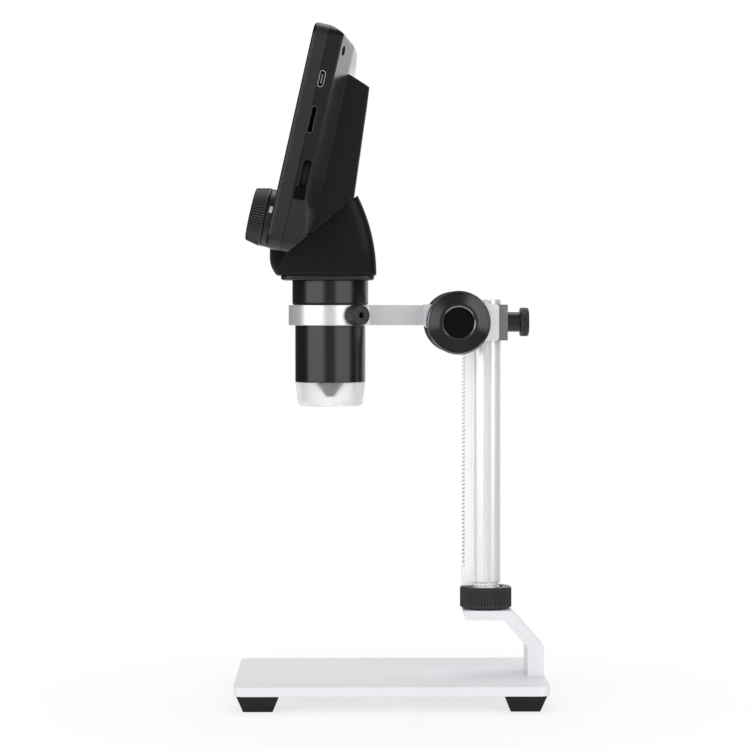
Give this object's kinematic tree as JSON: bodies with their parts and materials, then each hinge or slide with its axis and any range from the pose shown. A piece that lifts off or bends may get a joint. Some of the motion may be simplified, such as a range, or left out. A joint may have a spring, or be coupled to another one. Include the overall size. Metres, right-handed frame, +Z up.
{
  "type": "digital microscope",
  "caption": "Bench-top digital microscope: tilted screen head with side ports and front focus wheel, held by a ring arm on a rack-and-pinion column over a flat base plate.",
  "frame": {"origin": "on the ground under the middle of the base plate", "axes": "+Z up, -Y the side the screen faces, +Y the end that carries the column, +X the user's right with the ports"},
  "size_m": [0.124, 0.15, 0.3247],
  "materials": {
    "light_alloy": "sandblasted satin",
    "bright_alloy": "satin, polished at the ring",
    "column_steel": "satin",
    "rack_steel": "machined",
    "screw_steel": "plain",
    "black_metal": "black anodised, semi-gloss",
    "foot_rubber": "matt",
    "bush_brass": "machined",
    "head_plastic": "fine-grained satin",
    "panel_gloss": "high gloss",
    "barrel_gloss": "high gloss",
    "window_glass": "clear",
    "display": "dark, switched off",
    "board_green": "solder mask",
    "sheet_metal": "plain sheet",
    "socket_metal": "plated",
    "button_plastic": "satin",
    "shade_clear": "clear, lightly frosted",
    "lamp_white": "white board with pale diodes",
    "cell_wrap": "shrink film",
    "lens_black": "black anodised"
  },
  "bodies": {
    "base": {"base_plate": "light_alloy", "foot_front_left": "foot_rubber", "foot_front_right": "foot_rubber", "foot_rear_left": "foot_rubber", "foot_rear_right": "foot_rubber", "foot_screws": "screw_steel", "column_bracket": "light_alloy", "bracket_screws": "screw_steel", "column": "column_steel", "rack_bar": "rack_steel", "rack_screws": "screw_steel"},
    "lock_ring": {"column_lock_ring": "black_metal"},
    "carriage": {"carriage_block": "light_alloy", "pinion_bushes": "bush_brass", "clamp_block": "black_metal", "clamp_block_screws": "screw_steel", "lock_pad": "bush_brass", "support_arm": "bright_alloy", "arm_studs": "screw_steel"},
    "stand_focus": {"pinion_shaft": "screw_steel", "stand_knob_left": "black_metal", "stand_knob_right": "black_metal", "knob_grub_screws": "screw_steel"},
    "carriage_lock": {"carriage_lock_screw": "black_metal"},
    "ring_lock": {"ring_thumb_screw": "black_metal"},
    "microscope": {"barrel_tube": "barrel_gloss", "barrel_collar": "barrel_gloss", "neck_flange": "head_plastic", "neck_shell": "head_plastic", "front_panel": "panel_gloss", "screen_window": "window_glass", "front_shell": "head_plastic", "back_shell": "head_plastic", "battery_cover": "head_plastic", "cover_screws": "screw_steel", "shell_screws": "screw_steel", "lcd_panel": "display", "lcd_frame": "sheet_metal", "main_board": "board_green", "usb_socket": "socket_metal", "card_socket": "socket_metal", "dimmer_body": "button_plastic", "button_board": "board_green", "battery": "cell_wrap", "focus_bush": "bush_brass", "sensor_board": "board_green", "lamp_board": "lamp_white", "lamp_shade": "shade_clear"},
    "focus_drive": {"focus_wheel": "button_plastic", "focus_shaft": "screw_steel", "focus_pinion": "bush_brass"},
    "lens_slide": {"lens_carriage": "lens_black", "lens_nose": "lens_black"},
    "dimmer": {"dimmer_wheel": "button_plastic"},
    "key_menu": {"button_menu": "button_plastic"},
    "key_up": {"button_up": "button_plastic"},
    "key_down": {"button_down": "button_plastic"},
    "key_ok": {"button_ok": "button_plastic"},
    "key_snap": {"button_snap": "button_plastic"},
    "key_power": {"button_power": "button_plastic"}
  },
  "joints": [
    {"name": "carriage_travel", "type": "slide", "parent": "base", "child": "carriage", "axis": [0, 0, 1], "range_m": [-0.115, 0.006]},
    {"name": "stand_focus_turn", "type": "hinge", "parent": "carriage", "child": "stand_focus", "pos_m": [0, 0.03244, 0.1843], "axis": [1, 0, 0], "range_deg": [-108, 2000]},
    {"name": "lock_ring_turn", "type": "hinge", "parent": "base", "child": "lock_ring", "pos_m": [0, 0.047, 0.0494], "axis": [0, 0, 1], "range_deg": [0, 90]},
    {"name": "carriage_lock_turn", "type": "hinge", "parent": "carriage", "child": "carriage_lock", "pos_m": [0, 0.06, 0.1845], "axis": [0, 1, 0], "range_deg": [0, 180]},
    {"name": "ring_lock_turn", "type": "hinge", "parent": "carriage", "child": "ring_lock", "pos_m": [0, -0.0293, 0.18785], "axis": [0.8387, 0.5446, 0], "range_deg": [0, 180]},
    {"name": "head_swivel", "type": "hinge", "parent": "carriage", "child": "microscope", "pos_m": [0, -0.0293, 0.1878], "axis": [0, 0, 1], "continuous": true},
    {"name": "focus_wheel_turn", "type": "hinge", "parent": "microscope", "child": "focus_drive", "pos_m": [0, -0.05636, 0.23469], "axis": [0, 0.9753, -0.2207], "range_deg": [-112, 56.5]},
    {"name": "lens_travel", "type": "slide", "parent": "microscope", "child": "lens_slide", "axis": [0, 0, 1], "range_m": [-0.003, 0.006]},
    {"name": "dimmer_turn", "type": "hinge", "parent": "microscope", "child": "dimmer", "pos_m": [0.0527, -0.0406, 0.25358], "axis": [0, 0.9753, -0.2207], "range_deg": [0, 270]},
    {"name": "key_menu_press", "type": "slide", "parent": "microscope", "child": "key_menu", "axis": [0, 0.9753, -0.2207], "range_m": [0, 0.0004], "stiffness_N_per_m": 1500, "springref_m": -0.0004},
    {"name": "key_up_press", "type": "slide", "parent": "microscope", "child": "key_up", "axis": [0, 0.9753, -0.2207], "range_m": [0, 0.0004], "stiffness_N_per_m": 1500, "springref_m": -0.0004},
    {"name": "key_down_press", "type": "slide", "parent": "microscope", "child": "key_down", "axis": [0, 0.9753, -0.2207], "range_m": [0, 0.0004], "stiffness_N_per_m": 1500, "springref_m": -0.0004},
    {"name": "key_ok_press", "type": "slide", "parent": "microscope", "child": "key_ok", "axis": [0, 0.9753, -0.2207], "range_m": [0, 0.0004], "stiffness_N_per_m": 1500, "springref_m": -0.0004},
    {"name": "key_snap_press", "type": "slide", "parent": "microscope", "child": "key_snap", "axis": [0, 0.9753, -0.2207], "range_m": [0, 0.0004], "stiffness_N_per_m": 1500, "springref_m": -0.0004},
    {"name": "key_power_press", "type": "slide", "parent": "microscope", "child": "key_power", "axis": [0, 0.9753, -0.2207], "range_m": [0, 0.0004], "stiffness_N_per_m": 1500, "springref_m": -0.0004}
  ],
  "couplings": [
    {"joint": "stand_focus_turn", "follows": "carriage_travel", "rad_per_m": -303.03},
    {"joint": "focus_wheel_turn", "follows": "lens_travel", "rad_per_m": -325.11}
  ]
}
